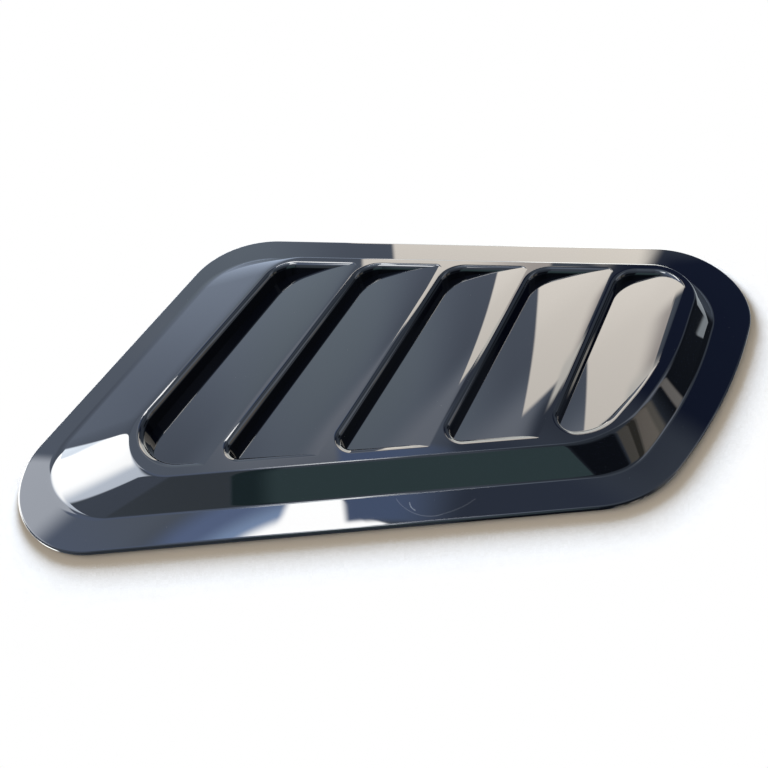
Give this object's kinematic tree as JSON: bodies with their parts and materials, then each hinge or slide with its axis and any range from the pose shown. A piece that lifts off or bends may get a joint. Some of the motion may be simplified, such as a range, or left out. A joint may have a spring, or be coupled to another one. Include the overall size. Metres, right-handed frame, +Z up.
{
  "type": "side vent trim",
  "caption": "Gloss black stick-on side vent trim: a slanted raised panel with a flat rim and a row of closed louvre pockets, hollow underneath.",
  "frame": {"origin": "centre of the bounding box, on the flat face of the rim that lies on the surface", "axes": "+Z up, away from the surface that the trim is stuck on; +X along the trim, from the ramp to the nose; +Y from the long front wall to the back"},
  "size_m": [0.369, 0.1934, 0.0165],
  "materials": {
    "gloss_black": "high gloss, moulded"
  },
  "bodies": {
    "root": {"vent_trim": "gloss_black"}
  },
  "joints": []
}
